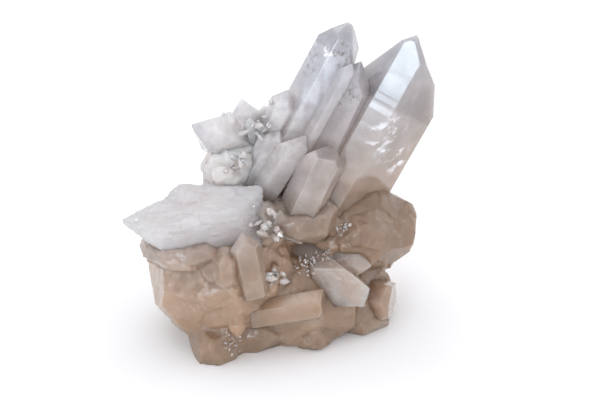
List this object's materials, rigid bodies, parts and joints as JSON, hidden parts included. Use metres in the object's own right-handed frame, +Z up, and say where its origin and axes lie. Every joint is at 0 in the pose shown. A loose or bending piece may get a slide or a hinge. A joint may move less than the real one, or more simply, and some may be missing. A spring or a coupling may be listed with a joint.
{
  "type": "quartz crystal cluster",
  "caption": "Natural cluster of clear and frosted quartz crystals on massive quartz, sawn flat underneath so that it stands on a table or shelf.",
  "frame": {"origin": "middle of the bounding box, on the flat sawn underside", "axes": "+X to the cluster's right, where the great crystal leans; +Y to its back; +Z up from the sawn underside"},
  "size_m": [0.1108, 0.0752, 0.1147],
  "materials": {
    "clear_quartz": "clear rock crystal with hazy veils inside, glossy faces",
    "frosted_quartz": "whitish quartz with etched, striated faces",
    "massive_quartz": "cloudy tan massive quartz with small bright facets"
  },
  "bodies": {
    "root": {"base": "massive_quartz", "upright_points": "clear_quartz", "upper_left_points": "clear_quartz", "window_point": "clear_quartz", "bar_point": "clear_quartz", "corner_point": "clear_quartz", "long_left_points": "frosted_quartz", "frosted_points": "frosted_quartz"}
  },
  "joints": []
}
